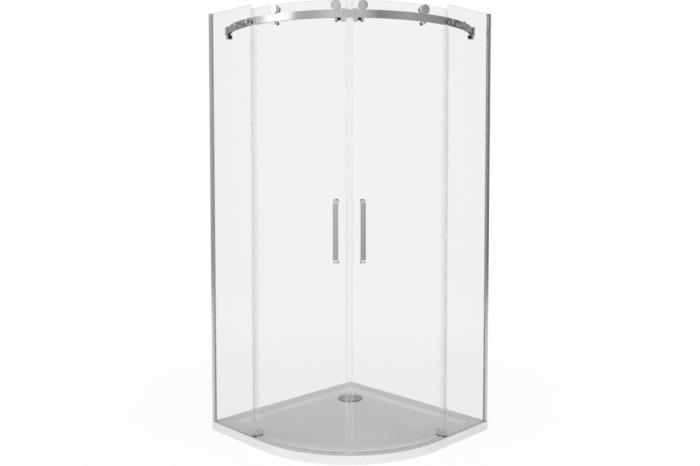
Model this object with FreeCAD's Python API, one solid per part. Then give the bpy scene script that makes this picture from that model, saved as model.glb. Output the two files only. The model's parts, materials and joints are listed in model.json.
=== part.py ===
"""Quadrant corner shower enclosure: tray, two fixed glass panels, a curved top rail and two curved doors.

Lengths are millimetres and angles are degrees. The tray stands on z = 0 and the origin is under its middle.
The two walls meet at the corner (-X, +Y). Places on the tray and panels are given as distances from that
corner along the two walls. Places on the rail and doors are given by an angle from the diagonal that runs
out of the corner through the doorway. The left half is modelled, and the right half is its mirror image.
"""
import FreeCAD
import Part
import math
import os

from FreeCAD import Vector

# Whole enclosure
side = 900.0
tray_height = 38.0
total_height = 1895.0
cut_overrun = 5.0
running_gap = 0.3
diagonal_heading = -45.0
full_turn = 360.0
arc_middle_share = 1 - math.sqrt(0.5)

# Tray
tray_arc_step = 62.0
tray_corner_radius = 3.0
tray_edge_round = 3.0
wall_rim = 72.0
flank_rim = 54.0
basin_radius_gain = 64.0
basin_corner_radius = 34.0
basin_depth = 16.0
basin_slope_run = 11.0
floor_fall = 4.0
waste_inset = 168.0
waste_hole_radius = 45.0
waste_recess_clearance = 3.0
waste_recess_depth = 3.0

# Waste fitting and its cover
waste_gasket_height = 1.5
waste_flange_overlap = 12.0
waste_flange_height = 2.5
waste_neck_wall = 4.0
waste_neck_clearance = 0.5
waste_neck_foot = 2.0
cover_overhang = 1.0
cover_lift = 3.0
cover_rim_height = 3.0
cover_crown = 4.0
cover_skirt_wall = 2.0
cover_skirt_clearance = 0.6
cover_skirt_depth = 9.0
cover_foot_radius = 4.0
cover_foot_count = 3

# Fixed glass panels and their wall profiles
glass = 6.0
panel_setback = 6.0
panel_width = 300.0
panel_wall_gap = 8.0
panel_foot = 4.0
panel_top_drop = 1.0
profile_depth = 20.0
profile_wall = 1.3
gasket_back = 1.5
gasket_side = 1.2
wall_hole_radius = 2.75
wall_hole_foot = 162.0
wall_hole_drop = 195.0
wall_hole_count = 4
profile_screw_foot = 92.0
profile_screw_drop = 89.0
profile_screw_count = 3
profile_screw_radius = 4.0
profile_screw_head = 2.2
edge_seal_wall = 1.4
edge_seal_reach = 12.0
edge_seal_gap = 1.0
edge_seal_drop = 6.5
edge_fin_thickness = 1.6
edge_fin_gap = 0.6

# Arc that the rail and the doors follow
arc_back = 8.0
rail_panel_gap = 8.0
rail_gap = 7.0
rail_thickness = 10.0
rail_height = 32.0
rail_drop = 51.0

# Rail fixings
bolt_edge_distance = 33.0
bolt_spacing = 80.0
bolt_count = 2
bolt_radius = 5.0
bolt_clearance = 0.2
bolt_cap_radius = 9.0
bolt_cap_height = 4.0
bolt_cap_round = 1.2
spacer_radius = 8.0
washer_height = 1.0
bolt_end_gap = 1.5

# Doors
door_foot = 14.0
door_over_axle = 22.2
door_front_edge = 8.5
door_overlap = 42.1
roller_front_inset = 54.2
roller_rear_inset = 159.2

# Rollers, from the tread outwards
wheel_radius = 17.5
wheel_flange = 2.0
wheel_flange_width = 2.8
bearing_radius = 9.5
bearing_width = 7.0
axle_radius = 4.0
axle_fit = 0.05
axle_collar_radius = 7.0
cap_overlap = 2.5
cap_height = 5.5
cap_round = 1.6
cap_boss_radius = 6.0
cap_socket_depth = 2.5
nut_radius = 15.0
nut_height = 5.0
nut_round = 1.0
glass_hole_clearance = 2.0
curve_clearance = 0.3

# Pins under the rail that stop a door from lifting off
pin_radius = 5.5
pin_gap = 0.5
pin_bolt_radius = 3.0
pin_head_radius = 4.5
pin_head_height = 1.8
pin_nut_radius = 8.0

# Door seals
seal_wall = 1.6
front_seal_width = 17.0
rear_seal_width = 24.0
rear_seal_nose = 3.0
bottom_seal_height = 17.0
bottom_seal_drop = 7.0
drip_lip_thickness = 1.6
drip_lip_drop = 2.2

# Door handles
handle_rise = 911.5
handle_length = 259.0
handle_width = 21.0
handle_bar = 9.0
handle_stand_off = 38.0
handle_outer_round = 16.0
handle_inner_round = 7.0
handle_screw_depth = 14.0

# Stops on the rail and their rubber buffers
stop_inset = 15.0
stop_length = 18.5
stop_plate = 5.0
stop_lip = 4.0
stop_lip_reach = 8.0
stop_foot = 14.0
stop_foot_depth = 12.0
stop_screw_radius = 2.5
stop_screw_head_radius = 4.5
stop_screw_head = 2.0
stop_screw_depth = 4.0
buffer_radius = 5.5
buffer_nose = 2.0
bracket_depth = 14.0
bracket_foot_width = 25.0
bracket_wall = 3.5
bracket_back = 4.0
bracket_screw_space = 3.0
bracket_hole_spacing = 20.0
bracket_drop = 18.0
bracket_top_lip = 4.0
opening_buffer_radius = 8.0
opening_buffer_length = 12.0
opening_buffer_root = 5.5
opening_buffer_step = 4.0
opening_buffer_drop = 1.0

# Threshold strip and bottom door guides
threshold_setback = 10.0
threshold_width = 17.0
threshold_height = 8.0
threshold_base = 3.0
threshold_upright = 12.0
threshold_end_step = 12.0
guide_back = 22.0
guide_front = 4.0
guide_depth = 42.0
guide_base = 4.0
guide_height = 26.0
guide_slot_clearance = 1.0

# Places in plan, from the wall corner outwards
half_side = side / 2
panel_outer = side - panel_setback
panel_inner = panel_outer - glass
panel_edge = panel_wall_gap + panel_width
profile_width = glass + 2 * (profile_wall + gasket_side)
bolt_insets = [panel_edge - bolt_edge_distance - index * bolt_spacing for index in range(bolt_count)]
tray_front_radius = side - panel_edge - tray_arc_step
basin_front_radius = tray_front_radius + basin_radius_gain
waste_flange_radius = waste_hole_radius + waste_flange_overlap
waste_recess_radius = waste_flange_radius + waste_recess_clearance
cover_radius = waste_flange_radius + cover_overhang
neck_outer = waste_hole_radius - waste_neck_clearance
neck_inner = neck_outer - waste_neck_wall
arc_inset = panel_edge - arc_back
rail_outer_radius = panel_inner - rail_panel_gap - arc_inset
rail_inner_radius = rail_outer_radius - rail_thickness
rail_mid_radius = rail_outer_radius - rail_thickness / 2
door_radius = rail_inner_radius - rail_gap
glass_inner_radius = door_radius - glass
cap_inner_radius = rail_outer_radius + running_gap + axle_fit
cap_outer_radius = cap_inner_radius + cap_height
wheel_inner_radius = rail_inner_radius - running_gap - wheel_flange_width
wheel_outer_radius = cap_inner_radius - running_gap
bearing_inner_radius = rail_mid_radius - bearing_width / 2
cap_radius = wheel_radius + cap_overlap

# Heights
panel_low = tray_height + panel_foot
panel_high = total_height - panel_top_drop
rail_top = total_height - rail_drop
rail_bottom = rail_top - rail_height
rail_mid_height = rail_top - rail_height / 2
wheel_height = rail_top + wheel_radius + running_gap
pin_height = rail_bottom - pin_gap - pin_radius
door_bottom = tray_height + door_foot
door_top = wheel_height + door_over_axle
handle_middle = tray_height + handle_rise
handle_heights = [handle_middle + end * (handle_length - handle_bar) / 2 for end in (-1, 1)]
basin_floor = tray_height - basin_depth
waste_seat = basin_floor - floor_fall - waste_recess_depth
flange_low = waste_seat + waste_gasket_height
flange_high = flange_low + waste_flange_height


def arc_degrees(length, radius=rail_mid_radius):
    """Angle that a length along the rail covers."""
    return math.degrees(length / radius)


def wall_angle(inset, radius=door_radius):
    """Angle at which an arc, or else the door's outer face, is a distance from the left wall."""
    return math.degrees(math.asin((arc_inset - inset) / radius)) - diagonal_heading


def spread(low, high, count):
    """Heights spaced evenly from a lowest to a highest."""
    return [low + (high - low) * index / (count - 1) for index in range(count)]


# Places along the rail, as angles from the diagonal
door_rear_angle = wall_angle(panel_edge) + arc_degrees(door_overlap, door_radius)
door_end_angle = door_rear_angle + arc_degrees(rear_seal_nose, door_radius)
buffer_seat_radius = door_radius + opening_buffer_step
bracket_angle = wall_angle(bracket_depth, buffer_seat_radius)
buffer_reach = arc_degrees(opening_buffer_length + running_gap, buffer_seat_radius)
door_travel = bracket_angle - buffer_reach - door_end_angle
roller_front_angle = arc_degrees(roller_front_inset)
roller_rear_angle = door_rear_angle - arc_degrees(roller_rear_inset)
roller_angles = {"front": roller_front_angle, "rear": roller_rear_angle}
stop_face = stop_inset + stop_length
closing_buffer_length = roller_front_inset - pin_radius - running_gap - stop_face


def corner_point(along_right, along_left, z):
    """Point given by its distances from the wall corner along the right and the left wall."""
    return Vector(along_right - half_side, half_side - along_left, z)


def corner_block(right_span, left_span, z_span):
    """Box between two distances along each wall and two heights."""
    size = [high - low for low, high in (right_span, left_span, z_span)]
    return Part.makeBox(*size, corner_point(right_span[0], left_span[1], z_span[0]))


def arc_direction(angle):
    """Outward direction at an angle to the left of the diagonal."""
    heading = math.radians(diagonal_heading - angle)
    return Vector(math.cos(heading), math.sin(heading), 0)


def arc_point(radius, angle, z, inset=arc_inset):
    return corner_point(inset, inset, z) + arc_direction(angle) * radius


def arc_tangent(angle):
    """Direction along the arc, towards the left."""
    outward = arc_direction(angle)
    return Vector(outward.y, -outward.x, 0)


def sector(radius_span, angle_span, z_span, inset=arc_inset):
    """Part of a ring between two radii, two angles and two heights."""
    inner, outer = radius_span
    start, end = angle_span
    middle = (start + end) / 2
    low, high = z_span

    def point(radius, angle):
        return arc_point(radius, angle, low, inset)

    edges = [
        Part.Arc(point(outer, start), point(outer, middle), point(outer, end)).toShape(),
        Part.makeLine(point(outer, end), point(inner, end)),
        Part.Arc(point(inner, end), point(inner, middle), point(inner, start)).toShape(),
        Part.makeLine(point(inner, start), point(outer, start)),
    ]
    return Part.Face(Part.Wire(edges)).extrude(Vector(0, 0, high - low))


def radial_cylinder(radius, radius_span, angle, z):
    """Round bar that points out of the arc's middle."""
    inner, outer = radius_span
    return Part.makeCylinder(radius, outer - inner, arc_point(inner, angle, z), arc_direction(angle))


def panel_cylinder(radius, left_span, along_right, z):
    """Round bar that stands square to the left fixed panel."""
    low, high = left_span
    return Part.makeCylinder(radius, high - low, corner_point(along_right, low, z), Vector(0, -1, 0))


def round_end(shape, direction, radius):
    """Rounds the rim of the end face that looks along a direction."""
    far = max(shape.Faces, key=lambda face: face.CenterOfMass.dot(direction))
    return shape.makeFillet(radius, far.OuterWire.Edges)


def mirrored(shape):
    """Copy on the other side of the diagonal."""
    return shape.mirror(Vector(0, 0, 0), Vector(1, 1, 0))


def rounded_quadrant(low, high, corner_radius, front_radius, z):
    """Square outline whose front corner has a large radius and whose other corners have a small one."""
    def turned(x, y, radius, x_way, y_way):
        reach = radius * arc_middle_share
        return [
            corner_point(x + x_way[0] * radius, y + x_way[1] * radius, z),
            corner_point(x + (x_way[0] + y_way[0]) * reach, y + (x_way[1] + y_way[1]) * reach, z),
            corner_point(x + y_way[0] * radius, y + y_way[1] * radius, z),
        ]

    turns = [
        turned(low, low, corner_radius, (0, 1), (1, 0)),
        turned(high, low, corner_radius, (-1, 0), (0, 1)),
        turned(high, high, front_radius, (0, -1), (-1, 0)),
        turned(low, high, corner_radius, (1, 0), (0, -1)),
    ]
    edges = []
    for index, turn in enumerate(turns):
        edges.append(Part.Arc(*turn).toShape())
        edges.append(Part.makeLine(turn[2], turns[(index + 1) % len(turns)][0]))
    return Part.Wire(edges)


def make_tray():
    """Cast tray with a flat rim, sloped basin sides, a floor that falls to the waste and the waste's hole."""
    outline = rounded_quadrant(0, side, tray_corner_radius, tray_front_radius, 0)
    body = Part.Face(outline).extrude(Vector(0, 0, tray_height))
    top_edges = [edge for edge in body.Edges
                 if all(abs(vertex.Z - tray_height) < tray_edge_round for vertex in edge.Vertexes)]
    body = body.makeFillet(tray_edge_round, top_edges)
    high = side - flank_rim
    rim = rounded_quadrant(wall_rim, high, basin_corner_radius, basin_front_radius, tray_height)
    floor = rounded_quadrant(wall_rim + basin_slope_run, high - basin_slope_run,
                             basin_corner_radius - basin_slope_run, basin_front_radius - basin_slope_run,
                             basin_floor)
    body = body.cut(Part.makeLoft([rim, floor], True, True))
    waste = corner_point(waste_inset, waste_inset, 0)
    reach = math.hypot(side, side)
    fall_height = floor_fall * reach / (high - waste_inset)
    fall = Part.makeCone(0, reach, fall_height, waste + Vector(0, 0, basin_floor - floor_fall))
    dish = Part.Face(floor).extrude(Vector(0, 0, -floor_fall)).common(fall)
    body = body.cut(dish)
    up = Vector(0, 0, 1)
    recess = Part.makeCylinder(waste_recess_radius, basin_depth, waste + up * waste_seat)
    hole = Part.makeCylinder(waste_hole_radius, tray_height, waste)
    return body.cut(recess).cut(hole)


def ring(outer, inner, low, high, centre):
    """Upright ring about a point in plan."""
    base = centre + Vector(0, 0, low)
    return Part.makeCylinder(outer, high - low, base).cut(Part.makeCylinder(inner, high - low, base))


def make_waste():
    """Gasket, flanged waste body and the domed cover that lifts out of it."""
    centre = corner_point(waste_inset, waste_inset, 0)
    gasket = ring(waste_flange_radius, waste_hole_radius, waste_seat, flange_low, centre)
    body = ring(waste_flange_radius, neck_inner, flange_low, flange_high, centre)
    body = body.fuse(ring(neck_outer, neck_inner, waste_neck_foot, flange_low, centre)).removeSplitter()
    cover_low = flange_high + cover_lift
    cover_high = cover_low + cover_rim_height + cover_crown
    skirt_outer = neck_inner - cover_skirt_clearance
    skirt_inner = skirt_outer - cover_skirt_wall
    skirt_low = cover_low - cover_skirt_depth
    rim_high = cover_low + cover_rim_height
    corners = [(0, cover_low), (skirt_inner, cover_low), (skirt_inner, skirt_low), (skirt_outer, skirt_low),
               (skirt_outer, cover_low), (cover_radius, cover_low), (cover_radius, rim_high)]
    points = [Vector(radius, 0, z) for radius, z in corners]
    edges = [Part.makeLine(start, end) for start, end in zip(points, points[1:])]
    crown = Vector(0, 0, cover_high)
    dome_radius = (cover_radius ** 2 + cover_crown ** 2) / (2 * cover_crown)
    half_way = math.sqrt(dome_radius ** 2 - (cover_radius / 2) ** 2)
    shoulder = Vector(cover_radius / 2, 0, cover_high - dome_radius + half_way)
    edges += [Part.Arc(points[-1], shoulder, crown).toShape(), Part.makeLine(crown, points[0])]
    cover = Part.Face(Part.Wire(edges)).revolve(Vector(0, 0, 0), Vector(0, 0, 1), full_turn)
    cover.translate(centre)
    foot_circle = (neck_inner + waste_flange_radius) / 2
    for index in range(cover_foot_count):
        heading = 2 * math.pi * index / cover_foot_count
        foot = Vector(math.cos(heading) * foot_circle, math.sin(heading) * foot_circle, flange_high)
        cover = cover.fuse(Part.makeCylinder(cover_foot_radius, cover_lift, centre + foot))
    return gasket, body, cover.removeSplitter()


def make_wall_profile():
    """Channel against the left wall, with the screw holes in its back and the glass gasket's seat."""
    middle = panel_inner + glass / 2
    low = middle - profile_width / 2
    high = middle + profile_width / 2
    span = (tray_height, total_height)
    channel = corner_block((0, profile_depth), (low, high), span)
    groove = corner_block((profile_wall, profile_depth), (low + profile_wall, high - profile_wall), span)
    channel = channel.cut(groove)
    for z in spread(tray_height + wall_hole_foot, total_height - wall_hole_drop, wall_hole_count):
        hole = Part.makeCylinder(wall_hole_radius, profile_wall, corner_point(0, middle, z), Vector(1, 0, 0))
        channel = channel.cut(hole)
    gasket_span = (panel_low, panel_high)
    gasket = corner_block((panel_wall_gap - gasket_back, profile_depth),
                          (low + profile_wall, high - profile_wall), gasket_span)
    glass_space = corner_block((panel_wall_gap, profile_depth), (panel_inner, panel_outer), gasket_span)
    gasket = gasket.cut(glass_space)
    screws = []
    for z in spread(tray_height + profile_screw_foot, total_height - profile_screw_drop, profile_screw_count):
        head = panel_cylinder(profile_screw_radius, (low - profile_screw_head, low), profile_depth / 2, z)
        screws.append(round_end(head, Vector(0, 1, 0), profile_screw_head / 2))
    return channel, gasket, screws


def make_fixed_panel():
    """Glass, the strip that it stands on and the clear seal on its free edge."""
    panel = corner_block((panel_wall_gap, panel_edge), (panel_inner, panel_outer), (panel_low, panel_high))
    hole_radius = bolt_radius + glass_hole_clearance
    for inset in bolt_insets:
        panel = panel.cut(panel_cylinder(hole_radius, (panel_inner, panel_outer), inset, rail_mid_height))
    strip = corner_block((panel_wall_gap, panel_edge), (panel_inner, panel_outer), (tray_height, panel_low))
    seal_span = (tray_height + guide_height + edge_seal_gap, pin_height - pin_radius - edge_seal_drop)
    clip = corner_block((panel_edge - edge_seal_reach, panel_edge + edge_seal_wall),
                        (panel_inner - edge_seal_wall, panel_outer + edge_seal_wall), seal_span)
    clip = clip.cut(corner_block((panel_wall_gap, panel_edge), (panel_inner, panel_outer), seal_span))
    fin_end = arc_inset + math.sqrt(door_radius ** 2 - (arc_inset - panel_edge) ** 2) + edge_fin_gap
    fin = corner_block((panel_edge + edge_seal_wall - edge_fin_thickness, panel_edge + edge_seal_wall),
                       (fin_end, panel_inner - edge_seal_wall), seal_span)
    return panel, strip, clip.fuse(fin).removeSplitter()


def rail_bolt(along_right, inner_end):
    """Bolt with a flat round cap on the panel's outer face, and the washers on both faces of the glass."""
    cap_low = panel_outer + washer_height
    cap = panel_cylinder(bolt_cap_radius, (cap_low, cap_low + bolt_cap_height), along_right, rail_mid_height)
    cap = round_end(cap, Vector(0, -1, 0), bolt_cap_round)
    shank = panel_cylinder(bolt_radius, (inner_end, cap_low), along_right, rail_mid_height)
    washers = []
    for low, radius in ((panel_outer, bolt_cap_radius), (panel_inner - washer_height, spacer_radius)):
        span = (low, low + washer_height)
        washer = panel_cylinder(radius, span, along_right, rail_mid_height)
        hole = panel_cylinder(bolt_radius + bolt_clearance, span, along_right, rail_mid_height)
        washers.append(washer.cut(hole))
    return cap.fuse(shank).removeSplitter(), washers


def make_rail_fixing(inset):
    """Spacer between the left panel and the rail, its bolt and washers, and the bolt's hole in the rail."""
    inner_face = arc_inset + math.sqrt(rail_inner_radius ** 2 - (arc_inset - inset) ** 2)
    spacer = panel_cylinder(spacer_radius, (inner_face, panel_inner - washer_height), inset, rail_mid_height)
    rail_disc = Part.makeCylinder(rail_outer_radius, rail_height, arc_point(0, 0, rail_bottom))
    hole = panel_cylinder(bolt_radius + bolt_clearance, (inner_face - cut_overrun, panel_inner),
                          inset, rail_mid_height)
    bolt, washers = rail_bolt(inset, inner_face + bolt_end_gap)
    return spacer.cut(rail_disc).cut(hole), bolt, washers, hole


def rail_bar(wall_gap):
    """Flat bar on edge, bent to the arc, that ends at a distance from each wall."""
    sweep = wall_angle(0, rail_inner_radius)
    bar = sector((rail_inner_radius, rail_outer_radius), (-sweep, sweep), (rail_bottom, rail_top))
    return bar.common(corner_block((wall_gap, side), (wall_gap, side), (rail_bottom, rail_top)))


def make_rail(holes):
    """Top rail with the holes for its bolts and for the screws of the stops."""
    rail = rail_bar(bracket_back + bracket_screw_space)
    for hole in holes:
        rail = rail.cut(hole).cut(mirrored(hole))
    return rail


def make_closing_stop():
    """Clip over the rail beside the diagonal, the buffer that the front pin meets, the screw and its hole."""
    angles = (arc_degrees(stop_inset), arc_degrees(stop_face))
    plate_outer = rail_outer_radius + stop_plate
    plate = sector((rail_outer_radius, plate_outer), angles, (rail_bottom - stop_foot, rail_top + stop_lip))
    lip = sector((rail_outer_radius - stop_lip_reach, rail_outer_radius), angles,
                 (rail_top, rail_top + stop_lip))
    foot = sector((rail_outer_radius - stop_foot_depth, rail_outer_radius), angles,
                  (rail_bottom - stop_foot, rail_bottom))
    middle = sum(angles) / 2
    screw_span = (rail_outer_radius - stop_screw_depth, plate_outer)
    hole = radial_cylinder(stop_screw_radius + bolt_clearance, screw_span, middle, rail_mid_height)
    clip = plate.fuse([lip, foot]).removeSplitter().cut(hole)
    head = radial_cylinder(stop_screw_head_radius, (plate_outer, plate_outer + stop_screw_head),
                           middle, rail_mid_height)
    shank = radial_cylinder(stop_screw_radius, screw_span, middle, rail_mid_height)
    screw = round_end(head, arc_direction(middle), stop_screw_head / 2).fuse(shank).removeSplitter()
    base = arc_point(rail_mid_radius, angles[1], pin_height)
    buffer = make_buffer(buffer_radius, closing_buffer_length, base, arc_tangent(angles[1]))
    return clip, buffer, screw, hole


def make_buffer(radius, length, base, direction):
    """Rubber buffer with a rounded nose."""
    return round_end(Part.makeCylinder(radius, length, base, direction), direction, buffer_nose)


def make_end_bracket():
    """Block on the left wall that holds the rail's end, and the buffer that stops the open door."""
    def along_wall(radius, inset):
        return half_side - arc_point(radius, wall_angle(inset, radius), 0).y

    depth_span = (0, bracket_depth)
    housing = corner_block(depth_span, (along_wall(rail_inner_radius, bracket_back) - bracket_wall,
                                        along_wall(rail_outer_radius, bracket_depth) + bracket_wall),
                           (rail_bottom - bracket_wall, rail_top + bracket_top_lip))
    foot_middle = along_wall(buffer_seat_radius, bracket_depth)
    half_foot = bracket_foot_width / 2
    foot = corner_block(depth_span, (foot_middle - half_foot, foot_middle + half_foot),
                        (rail_bottom - bracket_drop, rail_bottom))
    block = housing.fuse(foot).removeSplitter()
    buffer_z = rail_bottom - opening_buffer_drop - opening_buffer_radius
    inward = arc_tangent(bracket_angle)
    base = arc_point(buffer_seat_radius, bracket_angle, buffer_z) + inward * opening_buffer_root
    buffer_length = opening_buffer_root + opening_buffer_length
    buffer = make_buffer(opening_buffer_radius, buffer_length, base, inward * -1).cut(block)
    bracket = block.cut(rail_bar(bracket_back))
    hole_place = along_wall(rail_mid_radius, bracket_back)
    for end in (-1, 1):
        z = rail_mid_height + end * bracket_hole_spacing / 2
        place = corner_point(0, hole_place, z)
        bracket = bracket.cut(Part.makeCylinder(wall_hole_radius, bracket_back, place, Vector(1, 0, 0)))
    return bracket, buffer


def make_threshold():
    """Low strip along the tray's front edge, with an upright that keeps water in."""
    inset = side - tray_front_radius
    outer = tray_front_radius - threshold_setback
    short_of_end = tray_arc_step - threshold_end_step
    end = math.degrees(math.asin(short_of_end / outer)) - diagonal_heading
    base_high = tray_height + threshold_base
    base = sector((outer - threshold_width, outer), (-end, end), (tray_height, base_high), inset)
    upright = sector((outer - threshold_upright, outer), (-end, end),
                     (base_high, tray_height + threshold_height), inset)
    return base.fuse(upright).removeSplitter()


def make_bottom_guide():
    """Block at the panel's free corner with a slot that the door's lower edge runs through."""
    block = corner_block((panel_edge - guide_back, panel_edge + guide_front),
                         (panel_inner - guide_depth, panel_inner), (tray_height, tray_height + guide_height))
    play = seal_wall + guide_slot_clearance
    slot = sector((glass_inner_radius - play, door_radius + play), (0, -2 * diagonal_heading),
                  (tray_height + guide_base, tray_height + guide_height))
    return block.cut(slot)


def make_door_glass():
    front = arc_degrees(door_front_edge, door_radius)
    door = sector((glass_inner_radius, door_radius), (front, door_rear_angle), (door_bottom, door_top))
    through = (glass_inner_radius - cut_overrun, door_radius + cut_overrun)
    holes = [(angle, wheel_height, axle_radius) for angle in roller_angles.values()]
    holes += [(angle, pin_height, pin_bolt_radius) for angle in roller_angles.values()]
    holes += [(roller_front_angle, z, pin_bolt_radius) for z in handle_heights]
    for angle, z, radius in holes:
        door = door.cut(radial_cylinder(radius + glass_hole_clearance, through, angle, z))
    return door


def make_door_seals(door):
    """Magnetic strip on the meeting edge, clear strip on the rear edge and drip strip under the glass."""
    wrap = (glass_inner_radius - seal_wall, door_radius + seal_wall)
    upright = (door_bottom, door_top)
    meeting = (arc_degrees(running_gap, door_radius), arc_degrees(front_seal_width, door_radius))
    rear = (door_end_angle - arc_degrees(rear_seal_width, door_radius), door_end_angle)
    step = arc_degrees(running_gap, door_radius)
    under = (meeting[1] + step, rear[0] - step)
    front_seal = sector(wrap, meeting, upright).cut(door)
    rear_seal = sector(wrap, rear, upright).cut(door)
    drip_low = door_bottom - bottom_seal_drop
    drip = sector(wrap, under, (drip_low, drip_low + bottom_seal_height)).cut(door)
    middle = door_radius - glass / 2
    lip = sector((middle - drip_lip_thickness / 2, middle + drip_lip_thickness / 2), under,
                 (drip_low - drip_lip_drop, drip_low))
    return front_seal, rear_seal, drip.fuse(lip).removeSplitter()


def make_axle(angle):
    """Shouldered axle through the door glass."""
    shoulder = radial_cylinder(axle_collar_radius, (door_radius, bearing_inner_radius - running_gap),
                               angle, wheel_height)
    nut_low = glass_inner_radius - curve_clearance - nut_height
    shaft = radial_cylinder(axle_radius, (nut_low + nut_height / 2, cap_inner_radius + cap_socket_depth),
                            angle, wheel_height)
    return shaft.fuse(shoulder).removeSplitter()


def make_roller_cap(angle, axle):
    """Polished disc in front of the wheel, on a boss that the axle screws into."""
    disc = radial_cylinder(cap_radius, (cap_inner_radius, cap_outer_radius), angle, wheel_height)
    disc = round_end(disc, arc_direction(angle), cap_round)
    boss_low = bearing_inner_radius + bearing_width + running_gap
    boss = radial_cylinder(cap_boss_radius, (boss_low, cap_inner_radius), angle, wheel_height)
    return disc.fuse(boss).removeSplitter().cut(axle)


def make_roller_nut(angle, axle):
    """Round nut on the inside of the door glass."""
    high = glass_inner_radius - curve_clearance
    nut = radial_cylinder(nut_radius, (high - nut_height, high), angle, wheel_height)
    return round_end(nut, arc_direction(angle) * -1, nut_round).cut(axle)


def make_wheel(angle):
    """Flanged wheel that runs on the rail's top edge, and the bearing in its hub."""
    flange_outer = wheel_inner_radius + wheel_flange_width
    flange = radial_cylinder(wheel_radius + wheel_flange, (wheel_inner_radius, flange_outer),
                             angle, wheel_height)
    tread = radial_cylinder(wheel_radius, (flange_outer, wheel_outer_radius), angle, wheel_height)
    hub = radial_cylinder(bearing_radius, (wheel_inner_radius, wheel_outer_radius), angle, wheel_height)
    wheel = flange.fuse(tread).removeSplitter().cut(hub)
    span = (bearing_inner_radius, bearing_inner_radius + bearing_width)
    bearing = radial_cylinder(bearing_radius, span, angle, wheel_height)
    return wheel, bearing.cut(radial_cylinder(axle_radius + axle_fit, span, angle, wheel_height))


def make_pin(angle):
    """Sleeve under the rail that keeps the wheel down, and the bolt that holds it on the glass."""
    sleeve_end = rail_outer_radius - running_gap
    nut_high = glass_inner_radius - curve_clearance
    bolt = radial_cylinder(pin_bolt_radius, (nut_high, sleeve_end), angle, pin_height)
    head = radial_cylinder(pin_head_radius, (sleeve_end, sleeve_end + pin_head_height), angle, pin_height)
    nut = radial_cylinder(pin_nut_radius, (nut_high - nut_height, nut_high), angle, pin_height)
    nut = round_end(nut, arc_direction(angle) * -1, nut_round)
    sleeve = radial_cylinder(pin_radius, (door_radius, sleeve_end), angle, pin_height)
    return sleeve.cut(bolt), bolt.fuse([head, nut]).removeSplitter()


def rounded_rectangle(low, high, radii):
    """Upright outline of a handle, in reach and height, with a radius for the near and the far corners."""
    near_round, far_round = radii
    corners = [(low, near_round, 1, 1), ((high[0], low[1]), far_round, -1, 1),
               (high, far_round, -1, -1), ((low[0], high[1]), near_round, 1, -1)]
    edges = []
    ends = []
    for index, ((x, z), radius, x_way, z_way) in enumerate(corners):
        along_x = Vector(x + x_way * radius, 0, z)
        along_z = Vector(x, 0, z + z_way * radius)
        ends.append((along_z, along_x) if index % 2 == 0 else (along_x, along_z))
        if radius > 0:
            reach = radius * arc_middle_share
            middle = Vector(x + x_way * reach, 0, z + z_way * reach)
            edges.append(Part.Arc(ends[-1][0], middle, ends[-1][1]).toShape())
    for index, end in enumerate(ends):
        edges.append(Part.makeLine(end[1], ends[(index + 1) % len(ends)][0]))
    return Part.Wire(Part.__sortEdges__(edges))


def make_handle():
    """Bow handle of flat bar, standing off the glass on its two bent ends, and its screws."""
    low = handle_middle - handle_length / 2
    high = handle_middle + handle_length / 2
    far = door_radius + handle_stand_off
    outline = rounded_rectangle((door_radius, low), (far, high), (0, handle_outer_round))
    bow = Part.Face(outline).extrude(Vector(0, handle_width, 0))
    gap = rounded_rectangle((door_radius, low + handle_bar), (far - handle_bar, high - handle_bar),
                            (0, handle_inner_round))
    bow = bow.cut(Part.Face(gap).extrude(Vector(0, handle_width, 0)))
    bow.translate(Vector(0, -handle_width / 2, 0))
    bow.rotate(Vector(0, 0, 0), Vector(0, 0, 1), diagonal_heading - roller_front_angle)
    bow.translate(corner_point(arc_inset, arc_inset, 0))
    screws = []
    nut_high = glass_inner_radius - curve_clearance
    for z in handle_heights:
        shank_span = (nut_high, door_radius + handle_screw_depth)
        head = radial_cylinder(pin_nut_radius, (nut_high - nut_height, nut_high), roller_front_angle, z)
        head = round_end(head, arc_direction(roller_front_angle) * -1, nut_round)
        shank = radial_cylinder(pin_bolt_radius, shank_span, roller_front_angle, z)
        screws.append(head.fuse(shank).removeSplitter())
        bow = bow.cut(radial_cylinder(pin_bolt_radius, (door_radius, shank_span[1]), roller_front_angle, z))
    return bow, screws


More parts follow.
